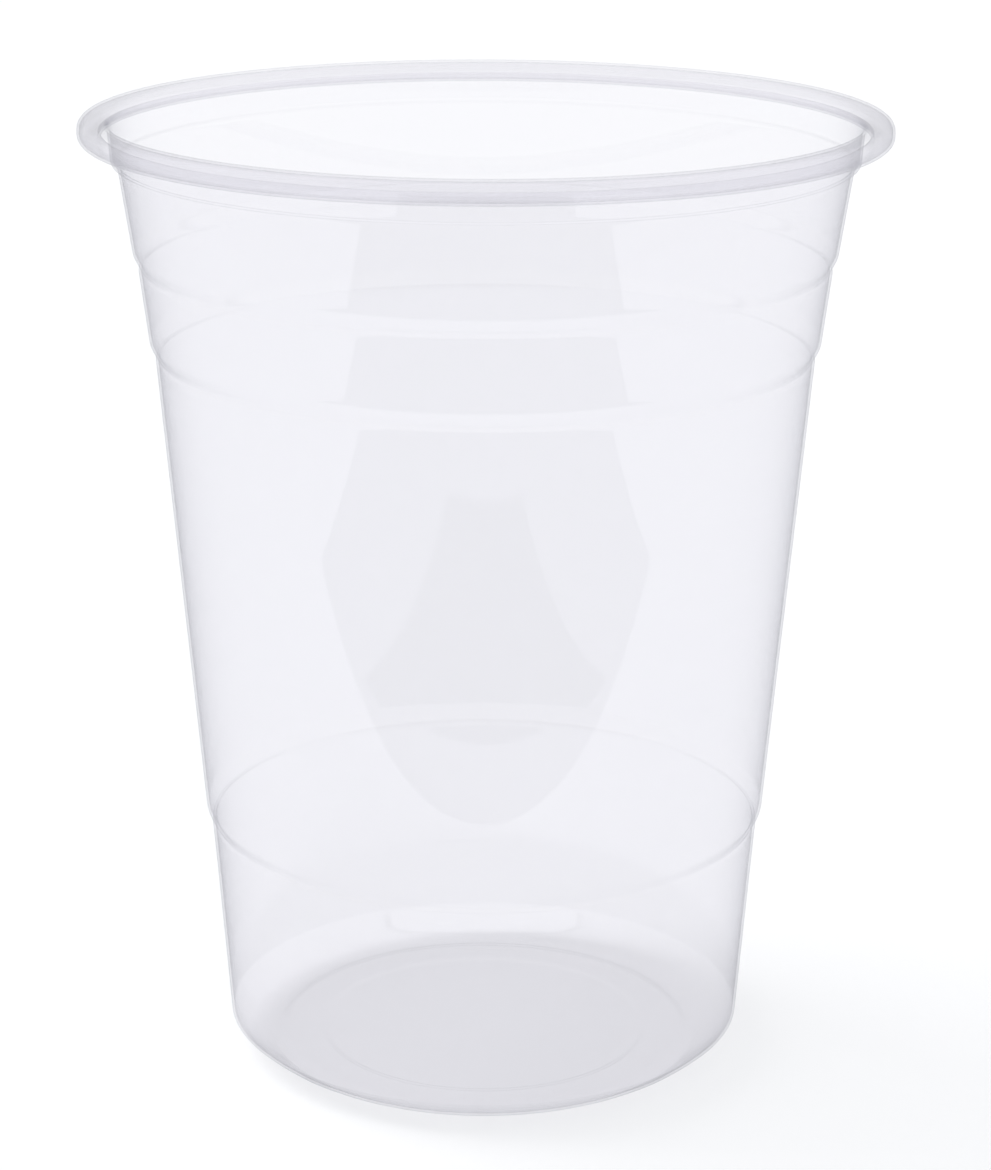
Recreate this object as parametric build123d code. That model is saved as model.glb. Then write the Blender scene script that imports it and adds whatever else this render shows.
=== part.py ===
from build123d import *
import math
import os

# Clear disposable drinking cup, thermoformed in one piece from thin plastic sheet.
# Millimetres and degrees. The cup stands upright on +Z, with its origin on the
# table at the centre of its base. Radii and diameters are those of the outside.

# Overall sizes
height = 119.0
rim_diameter = 98.0
base_diameter = 65.2
sheet = 0.3

# Rolled lip, and the collar below it
lip_width = 3.5
lip_height = 2.7
lip_hem = 2.5
lip_hem_turn = 0.9
lip_top_round = 0.9
lip_bottom_round = 0.7
lip_inner_round = 1.1
collar_height = 5.45
collar_flare = 4.0
ledge_width = 0.76
ledge_rise = 0.3

# Side wall: heights of its three steps, and how far each part leans outwards
upper_step_drop = 17.9
lower_step_drop = 28.95
waist_height = 30.2
upper_taper = 8.5
band_taper = 7.05
base_taper = 4.4
upper_step = 0.34
lower_step = 0.44
waist_step = 0.49

# Shape of a step: the wall below ends at a notch, under the shoulder of the wall above
notch_depth = 0.3
notch_height = 0.5
shoulder_height = 1.7
shoulder_round = 1.5
crease_round = 0.12

# Base: crease, bulged heel, narrow foot ring, raised floor and its centre panel
heel_height = 3.5
heel_crease = 0.2
heel_crease_height = 0.3
heel_bulge = 0.4
heel_round = 12.0
foot_diameter = 53.0
foot_width = 0.9
floor_rise = 0.3
floor_slope = 1.0
panel_diameter = 41.0
panel_drop = 0.2
panel_slope = 0.5
base_round = 0.25


def lean(angle):
    """Growth in radius for each millimetre of height on a wall leaning at this angle."""
    return math.tan(math.radians(angle))


def wall_step(z, radius, lean_below, lean_above, step):
    """Corners of a step at height z, lowest first. The radius is that of the wall below."""
    above = radius + step
    return [
        (radius - notch_height * lean_below, z - notch_height, crease_round),
        (radius - notch_depth, z, crease_round),
        (above + shoulder_height * lean_above, z + shoulder_height, shoulder_round),
    ]


def base_corners():
    """Corners of the underside, from the axis out to the crease at the top of the heel."""
    panel = panel_diameter / 2
    foot = foot_diameter / 2
    foot_outer = foot + foot_width
    crease_radius = heel_radius - heel_crease
    heel_run = math.hypot(crease_radius - foot_outer, heel_height)
    bulge_out = heel_bulge * heel_height / heel_run
    bulge_down = heel_bulge * (crease_radius - foot_outer) / heel_run
    heel_middle = ((foot_outer + crease_radius) / 2 + bulge_out, heel_height / 2 - bulge_down)
    return [
        (0, floor_rise - panel_drop, 0),
        (panel, floor_rise - panel_drop, base_round),
        (panel + panel_slope, floor_rise, base_round),
        (foot - floor_slope, floor_rise, base_round),
        (foot, 0, base_round),
        (foot_outer, 0, base_round),
        (*heel_middle, heel_round),
        (crease_radius, heel_height, crease_round),
        (heel_radius, heel_height + heel_crease_height, crease_round),
    ]


def lip_corners():
    """Corners of the ledge, the collar and the rolled lip, ending at the hem."""
    top = height - sheet
    bottom = height - lip_height + sheet
    outermost = rim_radius - sheet
    hem_radius = rim_radius - lip_hem
    return [
        (shoulder_radius, ledge_z, crease_round),
        (collar_foot_radius, ledge_z + ledge_rise, crease_round),
        (collar_radius, top, lip_inner_round),
        (outermost, top, lip_top_round),
        (outermost, bottom, lip_bottom_round),
        (hem_radius, bottom, crease_round),
        (hem_radius, bottom + lip_hem_turn, 0),
    ]


def offset_corners(corners, distance):
    """The same corners on a line this far to the left, where each pair of sides meets."""
    moved = []
    for i, (x, y, tight_round) in enumerate(corners):
        here = Vector(x, y)
        before = Vector(*corners[max(i - 1, 0)][:2])
        after = Vector(*corners[min(i + 1, len(corners) - 1)][:2])
        arriving = (here - before).normalized() if i > 0 else (after - here).normalized()
        leaving = (after - here).normalized() if i < len(corners) - 1 else arriving
        left = Vector(-arriving.Y - leaving.Y, arriving.X + leaving.X)
        reach = 2 * distance / left.length**2
        moved.append((x + left.X * reach, y + left.Y * reach, tight_round))
    return moved


def rounds(corners, right_side):
    """Fillet radius of each inner corner: the sheet's far side is one thickness larger."""
    radii = []
    for before, here, after in zip(corners, corners[1:], corners[2:]):
        arriving = Vector(here[0] - before[0], here[1] - before[1])
        leaving = Vector(after[0] - here[0], after[1] - here[1])
        turns_left = arriving.cross(leaving).Z > 0
        radii.append(here[2] + (sheet if turns_left == right_side else 0))
    return radii


# Outside radii and heights of the wall, from the collar down to the heel
rim_radius = rim_diameter / 2
collar_radius = rim_radius - lip_width
collar_foot_radius = collar_radius - collar_height * lean(collar_flare)
shoulder_radius = collar_foot_radius - ledge_width
ledge_z = height - collar_height
upper_step_z = height - upper_step_drop
lower_step_z = height - lower_step_drop
upper_end_radius = shoulder_radius - (ledge_z - upper_step_z) * lean(upper_taper)
band_radius = upper_end_radius - upper_step
band_end_radius = band_radius - (upper_step_z - lower_step_z) * lean(band_taper)
main_radius = band_end_radius - lower_step
heel_radius = base_diameter / 2
waist_radius = heel_radius + (waist_height - heel_height) * lean(base_taper)
main_end_radius = waist_radius + waist_step
main_lean = (main_radius - main_end_radius) / (lower_step_z - waist_height)

# Outside of the sheet, from the centre of the floor to the hem of the lip
outside = (
    base_corners()
    + wall_step(waist_height, waist_radius, lean(base_taper), main_lean, waist_step)
    + wall_step(lower_step_z, main_radius, main_lean, lean(band_taper), lower_step)
    + wall_step(upper_step_z, band_radius, lean(band_taper), lean(upper_taper), upper_step)
    + lip_corners()
)
inside = offset_corners(outside, sheet)

outer_line = FilletPolyline(*[c[:2] for c in outside], radius=rounds(outside, True))
inner_line = FilletPolyline(*[c[:2] for c in inside], radius=rounds(inside, False))
axis_end = Line(inner_line @ 0, outer_line @ 0)
hem_end = Line(outer_line @ 1, inner_line @ 1)
section = make_face([*outer_line.edges(), hem_end, *inner_line.edges(), axis_end])

cup = revolve(Plane.XZ * section, Axis.Z)
cup.label = "cup"

os.makedirs("parts", exist_ok=True)
export_step(cup, "parts/cup.step")
print(f"plastic {cup.volume / 1000:.2f} cm3")
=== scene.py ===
import math

import bmesh
import bpy
from mathutils import Matrix, Vector, noise


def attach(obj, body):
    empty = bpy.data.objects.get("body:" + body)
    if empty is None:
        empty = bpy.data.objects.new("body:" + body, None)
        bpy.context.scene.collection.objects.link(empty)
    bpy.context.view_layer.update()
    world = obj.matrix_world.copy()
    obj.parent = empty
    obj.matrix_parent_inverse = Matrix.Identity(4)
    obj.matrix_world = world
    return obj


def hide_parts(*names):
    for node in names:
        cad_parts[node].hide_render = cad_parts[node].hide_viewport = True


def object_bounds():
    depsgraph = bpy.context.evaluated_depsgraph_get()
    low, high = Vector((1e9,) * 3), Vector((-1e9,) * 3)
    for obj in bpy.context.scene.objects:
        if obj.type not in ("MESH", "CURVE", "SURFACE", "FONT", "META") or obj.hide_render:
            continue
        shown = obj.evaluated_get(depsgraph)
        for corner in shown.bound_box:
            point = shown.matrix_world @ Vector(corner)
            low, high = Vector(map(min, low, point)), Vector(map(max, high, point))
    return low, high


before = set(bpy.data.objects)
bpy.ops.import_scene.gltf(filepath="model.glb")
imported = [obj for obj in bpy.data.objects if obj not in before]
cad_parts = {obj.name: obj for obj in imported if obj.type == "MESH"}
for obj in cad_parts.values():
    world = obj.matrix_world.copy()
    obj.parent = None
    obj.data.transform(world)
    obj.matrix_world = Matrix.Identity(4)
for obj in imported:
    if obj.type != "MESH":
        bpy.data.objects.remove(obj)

CAD_LOW, CAD_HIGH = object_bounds()

# The cup's own sizes, in metres and degrees. Its height and rim come from the frame.
MM = 0.001
HEIGHT = CAD_HIGH.z - CAD_LOW.z
RIM_RADIUS = CAD_HIGH.x
BASE_RADIUS = 32.6 * MM
SHEET = 0.3 * MM
LIP_WIDTH, LIP_HEIGHT, LIP_HEM, LIP_HEM_TURN = 3.5 * MM, 2.7 * MM, 2.5 * MM, 0.9 * MM
LIP_INNER_ROUND, LIP_OUTER_ROUND, LIP_LOWER_ROUND = 1.1 * MM, 0.9 * MM, 0.7 * MM
COLLAR_HEIGHT, COLLAR_FLARE = 5.45 * MM, 4.0
LEDGE_WIDTH, LEDGE_RISE = 0.76 * MM, 0.3 * MM
UPPER_STEP_Z, LOWER_STEP_Z, WAIST_Z = HEIGHT - 17.9 * MM, HEIGHT - 28.95 * MM, 30.2 * MM
UPPER_TAPER, BAND_TAPER, BASE_TAPER = 8.5, 7.05, 4.4
UPPER_STEP, LOWER_STEP, WAIST_STEP = 0.34 * MM, 0.44 * MM, 0.49 * MM
NOTCH_DEPTH, NOTCH_HEIGHT, SHOULDER_HEIGHT = 0.3 * MM, 0.5 * MM, 1.7 * MM
HEEL_HEIGHT, HEEL_CREASE, HEEL_CREASE_HEIGHT = 3.5 * MM, 0.2 * MM, 0.3 * MM
HEEL_MIDDLE, HEEL_ROUND = (30.1 * MM, 1.42 * MM), 12.0 * MM
FOOT_RADIUS, FOOT_WIDTH, FLOOR_RISE, FLOOR_SLOPE = 26.5 * MM, 0.9 * MM, 0.3 * MM, 1.0 * MM
PANEL_RADIUS, PANEL_DROP, PANEL_SLOPE = 20.5 * MM, 0.2 * MM, 0.5 * MM
CREASE_ROUND, SHOULDER_ROUND, BASE_ROUND = 0.12 * MM, 1.5 * MM, 0.25 * MM

# How finely the cup is meshed: sides around it, steps in a 60 degree round, the distance of a
# support point from a round, and the spacing of points along a straight run
SEGMENTS = 352
ARC_STEPS = 4
SUPPORT = 0.35 * MM
SPACING = 6 * MM
ON_AXIS = 1e-9

# Unevenness of the wall: its depths, and how far it keeps from the base and the rim
WAVE_BROAD, WAVE_FINE = 0.030 * MM, 0.006 * MM
WAVE_FROM_BASE, WAVE_FROM_RIM, WAVE_FADE = 4 * MM, 8 * MM, 8 * MM

# Marks pressed in the floor's panel: rings round the middle, and mottling out to its edge
RELIEF_MARGIN, RELIEF_FADE, FLOOR_TOP = 0.5 * MM, 3 * MM, 0.8 * MM
RING_DEPTH, RING_PITCH, RING_SWAY = 0.036 * MM, 1.05 * MM, 0.9
RING_MIDDLE, RING_SPREAD = 5.5 * MM, 4.0 * MM
MOTTLE_DEPTH, MOTTLE_SIZE = 0.045 * MM, 2.6 * MM
GRAIN_DEPTH, GRAIN_SIZE, GRAIN_LAYER = 0.024 * MM, 1.1 * MM, 5 * MM

# The plastic: its tint and the share it mirrors, seen face-on and where sight grazes it
FACE_TINT, EDGE_TINT = (0.967, 0.965, 0.974, 1), (0.74, 0.74, 0.76, 1)
FACE_MIRROR, EDGE_MIRROR = 0.05, 0.25
GRAZING_POWER = 6.0
GLOSS_COLOUR, GLOSS_ROUGHNESS = (0.95, 0.95, 0.96, 1), 0.02

# How much of a lamp's light each face passes, in the wall and down at the heel
WALL_SHADOW = 0.95
HEEL_SHADOW = 0.89

# The floor, and the darker patch that lies in front of the cup
STAGE = 4.0
FLOOR_Z, FLOOR_GREY, FLOOR_LIFT = -0.05 * MM, 0.82, 0.17
DARK_PATCH_Z, DARK_PATCH_GREY = 1 * MM, 0.55
DARK_PATCH_ACROSS = (-160 * MM, 160 * MM)
DARK_PATCH_ALONG = (-600 * MM, -104 * MM)

# The room's light on the cup, and the white that is seen behind it
ROOM, BACKDROP = (0.30, 0.31, 0.33, 1), (1, 1, 1, 1)

# The camera, in front of the cup and above its rim
CAMERA_DISTANCE = 401.55 * MM
CAMERA_ABOVE_RIM = 60.83 * MM
PITCH, YAW, ROLL = 16.644, 0.191, 0.220
SENSOR = 36.0
FOCAL_LENGTH = 102.85
NEAREST_SEEN = 10 * MM


def lean(angle):
    """Growth in radius with height on a wall leaning at this angle."""
    return math.tan(math.radians(angle))


def step_corners(z, radius, lean_below, lean_above, step):
    """Corners (radius, height, tight rounding) of one step in the wall, lowest first."""
    return [
        (radius - NOTCH_HEIGHT * lean_below, z - NOTCH_HEIGHT, CREASE_ROUND),
        (radius - NOTCH_DEPTH, z, CREASE_ROUND),
        (radius + step + SHOULDER_HEIGHT * lean_above, z + SHOULDER_HEIGHT, SHOULDER_ROUND),
    ]


def outside_corners():
    """Corners of the sheet's outside, from the centre of the floor to the lip's hem."""
    collar = RIM_RADIUS - LIP_WIDTH
    collar_foot = collar - COLLAR_HEIGHT * lean(COLLAR_FLARE)
    shoulder = collar_foot - LEDGE_WIDTH
    ledge_z = HEIGHT - COLLAR_HEIGHT
    band = shoulder - (ledge_z - UPPER_STEP_Z) * lean(UPPER_TAPER) - UPPER_STEP
    main = band - (UPPER_STEP_Z - LOWER_STEP_Z) * lean(BAND_TAPER) - LOWER_STEP
    waist = BASE_RADIUS + (WAIST_Z - HEEL_HEIGHT) * lean(BASE_TAPER)
    main_lean = (main - waist - WAIST_STEP) / (LOWER_STEP_Z - WAIST_Z)
    top, bottom = HEIGHT - SHEET, HEIGHT - LIP_HEIGHT + SHEET
    outermost, hem = RIM_RADIUS - SHEET, RIM_RADIUS - LIP_HEM
    return [
        (0.0, FLOOR_RISE - PANEL_DROP, 0.0),
        (PANEL_RADIUS, FLOOR_RISE - PANEL_DROP, BASE_ROUND),
        (PANEL_RADIUS + PANEL_SLOPE, FLOOR_RISE, BASE_ROUND),
        (FOOT_RADIUS - FLOOR_SLOPE, FLOOR_RISE, BASE_ROUND),
        (FOOT_RADIUS, 0.0, BASE_ROUND),
        (FOOT_RADIUS + FOOT_WIDTH, 0.0, BASE_ROUND),
        (*HEEL_MIDDLE, HEEL_ROUND),
        (BASE_RADIUS - HEEL_CREASE, HEEL_HEIGHT, CREASE_ROUND),
        (BASE_RADIUS, HEEL_HEIGHT + HEEL_CREASE_HEIGHT, CREASE_ROUND),
        *step_corners(WAIST_Z, waist, lean(BASE_TAPER), main_lean, WAIST_STEP),
        *step_corners(LOWER_STEP_Z, main, main_lean, lean(BAND_TAPER), LOWER_STEP),
        *step_corners(UPPER_STEP_Z, band, lean(BAND_TAPER), lean(UPPER_TAPER), UPPER_STEP),
        (shoulder, ledge_z, CREASE_ROUND),
        (collar_foot, ledge_z + LEDGE_RISE, CREASE_ROUND),
        (collar, top, LIP_INNER_ROUND),
        (outermost, top, LIP_OUTER_ROUND),
        (outermost, bottom, LIP_LOWER_ROUND),
        (hem, bottom, CREASE_ROUND),
        (hem, bottom + LIP_HEM_TURN, 0.0),
    ]


def directions(corners, i):
    """Unit directions of the sides that arrive at and leave corner i."""
    here = Vector(corners[i][:2])
    arriving = (here - Vector(corners[i - 1][:2])).normalized() if i > 0 else None
    leaving = (Vector(corners[i + 1][:2]) - here).normalized() if i < len(corners) - 1 else None
    return arriving or leaving, leaving or arriving


def moved_left(corners, distance):
    """The corners of a line this far to the left of the given one."""
    moved = []
    for i, (x, y, tight) in enumerate(corners):
        arriving, leaving = directions(corners, i)
        left = Vector((-arriving.y - leaving.y, arriving.x + leaving.x))
        reach = 2 * distance / left.length_squared
        moved.append((x + left.x * reach, y + left.y * reach, tight))
    return moved


def rounded(corners, right_side):
    """Points along the corners with each one rounded, and support points beside each round."""
    points = [Vector(corners[0][:2])]
    for i in range(1, len(corners) - 1):
        here = Vector(corners[i][:2])
        arriving, leaving = directions(corners, i)
        turn = math.atan2(arriving.cross(leaving), arriving.dot(leaving))
        radius = corners[i][2] + (SHEET if (turn > 0) == right_side else 0.0)
        reach = radius * math.tan(abs(turn) / 2)
        start = here - arriving * reach
        side = Vector((-arriving.y, arriving.x))
        centre = start + side * math.copysign(radius, turn)
        support(points, start)
        steps = max(2, math.ceil(ARC_STEPS * abs(turn) / math.radians(60)))
        for k in range(steps + 1):
            spoke = start - centre
            spoke.rotate(Matrix.Rotation(turn * k / steps, 2))
            points.append(centre + spoke)
    end = Vector(corners[-1][:2])
    support(points, end)
    points.append(end)
    return points


def support(points, end):
    """Points along a straight run up to end: one near each of its ends, and a few between."""
    start = points[-1]
    run = end - start
    if run.length < 4 * SUPPORT:
        return
    way = run.normalized()
    points.append(start + way * SUPPORT)
    count = int(run.length / SPACING)
    for k in range(1, count + 1):
        points.append(start + run * k / (count + 1))
    points.append(end - way * SUPPORT)


def ramp(value):
    """The value, kept between 0 and 1."""
    return min(max(value, 0.0), 1.0)


def waviness(x, y, z):
    """Slight unevenness of the stretched wall, in metres outwards."""
    around = Vector((x, y, 0)).normalized()
    broad = noise.noise(Vector((around.x * 2.2, around.y * 2.2, z * 14)) + Vector((7, 3, 1)))
    fine = noise.noise(Vector((around.x * 9, around.y * 9, z * 40)) + Vector((1, 9, 4)))
    above_base = ramp((z - WAVE_FROM_BASE) / WAVE_FADE)
    below_rim = ramp((HEIGHT - WAVE_FROM_RIM - z) / WAVE_FADE)
    return above_base * below_rim * (WAVE_BROAD * broad + WAVE_FINE * fine)


def floor_relief(x, y):
    """Mottled rings pressed into the middle of the floor, in metres upwards."""
    inside = PANEL_RADIUS - RELIEF_MARGIN - math.hypot(x, y)
    if inside < 0:
        return 0.0
    radius, angle = math.hypot(x, y), math.atan2(y, x)
    rings = RING_DEPTH * math.sin(radius / RING_PITCH + RING_SWAY * math.sin(2 * angle))
    rings *= math.exp(-((radius - RING_MIDDLE) / RING_SPREAD) ** 2)
    mottle = MOTTLE_DEPTH * noise.noise(Vector((x, y, 0)) / MOTTLE_SIZE)
    grain = GRAIN_DEPTH * noise.noise(Vector((x, y, GRAIN_LAYER)) / GRAIN_SIZE)
    return ramp(inside / RELIEF_FADE) * (rings + mottle + grain)


def make_cup():
    """The cup as one closed revolved sheet, with its slight unevenness."""
    corners = outside_corners()
    outer = rounded(corners, True)
    inner = rounded(moved_left(corners, SHEET), False)
    mesh = bmesh.new()
    revolve(mesh, outer + list(reversed(inner)))
    make_uneven(mesh)
    bmesh.ops.recalc_face_normals(mesh, faces=mesh.faces)
    cup = linked_object("cup_shell", mesh, clear_plastic())
    cup.data.shade_smooth()
    return cup


def revolve(mesh, section):
    """Rings of corners from the section's points, and the faces between them."""
    rings = []
    for point in section:
        if point.x < ON_AXIS:
            rings.append([mesh.verts.new((0, 0, point.y))])
            continue
        ring = []
        for k in range(SEGMENTS):
            a = 2 * math.pi * k / SEGMENTS
            ring.append(mesh.verts.new((point.x * math.cos(a), point.x * math.sin(a), point.y)))
        rings.append(ring)
    for first, second in zip(rings, rings[1:]):
        for k in range(SEGMENTS):
            n = (k + 1) % SEGMENTS
            if len(first) == 1:
                mesh.faces.new((first[0], second[k], second[n]))
            elif len(second) == 1:
                mesh.faces.new((first[k], second[0], first[n]))
            else:
                mesh.faces.new((first[k], second[k], second[n], first[n]))


def make_uneven(mesh):
    """Both faces of the sheet moved alike: the wall in or out, and the floor up or down."""
    for v in mesh.verts:
        x, y, z = v.co
        push = waviness(x, y, z)
        radius = math.hypot(x, y)
        if radius > ON_AXIS:
            v.co.x += x / radius * push
            v.co.y += y / radius * push
        if z < FLOOR_TOP:
            v.co.z += floor_relief(x, y)


def linked_object(name, mesh, material):
    """The mesh as an object in the scene, in this material."""
    data = bpy.data.meshes.new(name)
    mesh.to_mesh(data)
    mesh.free()
    data.materials.append(material)
    piece = bpy.data.objects.new(name, data)
    bpy.context.scene.collection.objects.link(piece)
    return piece


def empty_material(name):
    """A new material that holds only its output node."""
    material = bpy.data.materials.new(name)
    material.use_nodes = True
    nodes, links = material.node_tree.nodes, material.node_tree.links
    nodes.clear()
    out = nodes.new("ShaderNodeOutputMaterial")
    return material, nodes, links, out.inputs["Surface"]


def mixed(nodes, links, share, first, second):
    """A mix of two shaders, with this share of the second."""
    mix = nodes.new("ShaderNodeMixShader")
    links.new(share, mix.inputs[0])
    links.new(first, mix.inputs[1])
    links.new(second, mix.inputs[2])
    return mix.outputs[0]


def clear_plastic():
    """Thin clear plastic: light goes straight through, tinted and mirrored more where it grazes."""
    material, nodes, links, surface = empty_material("clear_plastic")
    slant = nodes.new("ShaderNodeLayerWeight")
    grazing = nodes.new("ShaderNodeMath")
    grazing.operation = "POWER"
    grazing.inputs[1].default_value = GRAZING_POWER
    links.new(slant.outputs["Facing"], grazing.inputs[0])
    tint = nodes.new("ShaderNodeMix")
    tint.data_type = "RGBA"
    tint.inputs["A"].default_value = FACE_TINT
    tint.inputs["B"].default_value = EDGE_TINT
    links.new(grazing.outputs[0], tint.inputs["Factor"])
    straight = nodes.new("ShaderNodeBsdfTransparent")
    links.new(tint.outputs["Result"], straight.inputs["Color"])
    gloss = nodes.new("ShaderNodeBsdfPrincipled")
    gloss.inputs["Base Color"].default_value = GLOSS_COLOUR
    gloss.inputs["Metallic"].default_value = 1.0
    gloss.inputs["Roughness"].default_value = GLOSS_ROUGHNESS
    share = nodes.new("ShaderNodeMapRange")
    share.inputs["To Min"].default_value = FACE_MIRROR
    share.inputs["To Max"].default_value = EDGE_MIRROR
    links.new(grazing.outputs[0], share.inputs["Value"])
    body = mixed(nodes, links, share.outputs[0], straight.outputs[0], gloss.outputs[0])
    path = nodes.new("ShaderNodeLightPath")
    passing = lamp_light(nodes, links)
    links.new(mixed(nodes, links, path.outputs["Is Shadow Ray"], body, passing), surface)
    return material


def lamp_light(nodes, links):
    """What lets lamps' light through: well through the thin wall, less at the heel."""
    place = nodes.new("ShaderNodeNewGeometry")
    split = nodes.new("ShaderNodeSeparateXYZ")
    links.new(place.outputs["Position"], split.inputs[0])
    above_heel = nodes.new("ShaderNodeMapRange")
    above_heel.inputs["From Min"].default_value = HEEL_HEIGHT
    above_heel.inputs["From Max"].default_value = 3 * HEEL_HEIGHT
    links.new(split.outputs["Z"], above_heel.inputs["Value"])
    passed = nodes.new("ShaderNodeMapRange")
    passed.inputs["To Min"].default_value = HEEL_SHADOW
    passed.inputs["To Max"].default_value = WALL_SHADOW
    links.new(above_heel.outputs[0], passed.inputs["Value"])
    clear = nodes.new("ShaderNodeBsdfTransparent")
    links.new(passed.outputs[0], clear.inputs["Color"])
    return clear.outputs[0]


def background_rays(nodes, links):
    """1 for rays from the camera, straight, mirrored or bent, and 0 for those that light things."""
    path = nodes.new("ShaderNodeLightPath")
    seen = path.outputs["Is Camera Ray"]
    for kind in ("Is Glossy Ray", "Is Transmission Ray"):
        either = nodes.new("ShaderNodeMath")
        either.operation = "MAXIMUM"
        links.new(seen, either.inputs[0])
        links.new(path.outputs[kind], either.inputs[1])
        seen = either.outputs[0]
    return seen


def pale_surface(name, grey, lift):
    """A matt pale surface, made brighter by this much where it is seen."""
    material, nodes, links, surface = empty_material(name)
    paper = nodes.new("ShaderNodeBsdfDiffuse")
    paper.inputs["Color"].default_value = (grey, grey, grey, 1)
    scale = nodes.new("ShaderNodeMath")
    scale.operation = "MULTIPLY"
    scale.inputs[1].default_value = lift
    links.new(background_rays(nodes, links), scale.inputs[0])
    glow = nodes.new("ShaderNodeEmission")
    links.new(scale.outputs[0], glow.inputs["Strength"])
    add = nodes.new("ShaderNodeAddShader")
    links.new(paper.outputs[0], add.inputs[0])
    links.new(glow.outputs[0], add.inputs[1])
    links.new(add.outputs[0], surface)
    return material


def flat_stage(name, across, along, z, material):
    """A staged rectangle at height z, between these ends in X and in Y."""
    mesh = bmesh.new()
    for x, y in ((0, 0), (1, 0), (1, 1), (0, 1)):
        mesh.verts.new((across[x], along[y], z))
    mesh.faces.new(mesh.verts)
    piece = linked_object(name, mesh, material)
    return piece


def make_floor():
    """A white sheet under the cup, and a darker patch in front that shows only mirrored in it."""
    everywhere = (-STAGE, STAGE)
    white = pale_surface("white_sheet", FLOOR_GREY, FLOOR_LIFT)
    flat_stage("floor", everywhere, everywhere, FLOOR_Z, white)
    # a darker patch on the floor in front of the cup, hidden from the camera and seen only mirrored in
    # the cup
    dark_patch = flat_stage("dark_patch", DARK_PATCH_ACROSS, DARK_PATCH_ALONG, DARK_PATCH_Z, pale_surface("dark_patch_surface", DARK_PATCH_GREY, 0.0))
    dark_patch.visible_camera = False
    dark_patch.visible_diffuse = False
    dark_patch.visible_shadow = False


def sun(name, origin, strength, softness):
    """A soft distant lamp that shines from origin towards the cup, this many degrees wide."""
    data = bpy.data.lights.new(name, "SUN")
    data.energy = strength
    data.angle = math.radians(softness)
    lamp = bpy.data.objects.new(name, data)
    lamp.visible_glossy = False
    lamp.rotation_euler = (-Vector(origin)).to_track_quat("-Z", "Y").to_euler()
    bpy.context.scene.collection.objects.link(lamp)


def make_world():
    """A plain room that lights the cup, and pure white where it is seen."""
    world = bpy.data.worlds.new("studio")
    world.use_nodes = True
    nodes, links = world.node_tree.nodes, world.node_tree.links
    room = nodes["Background"]
    room.inputs["Color"].default_value = ROOM
    white = nodes.new("ShaderNodeBackground")
    white.inputs["Color"].default_value = BACKDROP
    seen = background_rays(nodes, links)
    both = mixed(nodes, links, seen, room.outputs[0], white.outputs[0])
    links.new(both, nodes["World Output"].inputs["Surface"])
    bpy.context.scene.world = world


def make_camera():
    """The camera, turned by its pitch, yaw and roll from level and square on."""
    pitch, yaw, roll = (math.radians(a) for a in (PITCH, YAW, ROLL))
    heading = Vector((math.sin(yaw), math.cos(yaw), 0))
    ahead = heading * math.cos(pitch) - Vector((0, 0, math.sin(pitch)))
    level = Vector((math.cos(yaw), -math.sin(yaw), 0))
    upright = level.cross(ahead)
    right = level * math.cos(roll) + upright * math.sin(roll)
    up = upright * math.cos(roll) - level * math.sin(roll)
    data = bpy.data.cameras.new("camera")
    data.sensor_width = SENSOR
    data.lens = FOCAL_LENGTH
    data.clip_start = NEAREST_SEEN
    camera = bpy.data.objects.new("camera", data)
    camera.matrix_world = Matrix((right, up, -ahead)).transposed().to_4x4()
    camera.location = (0, -CAMERA_DISTANCE, HEIGHT + CAMERA_ABOVE_RIM)
    bpy.context.scene.collection.objects.link(camera)
    bpy.context.scene.camera = camera


make_camera()
make_floor()
sun("key", origin=(-1.0, 0.45, 1.15), strength=2.6, softness=40)
sun("fill", origin=(0.3, -0.6, 1.4), strength=0.5, softness=90)
make_world()

cup = make_cup()
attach(cup, "root")
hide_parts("cup")

bpy.context.scene.view_settings.view_transform = "Standard"
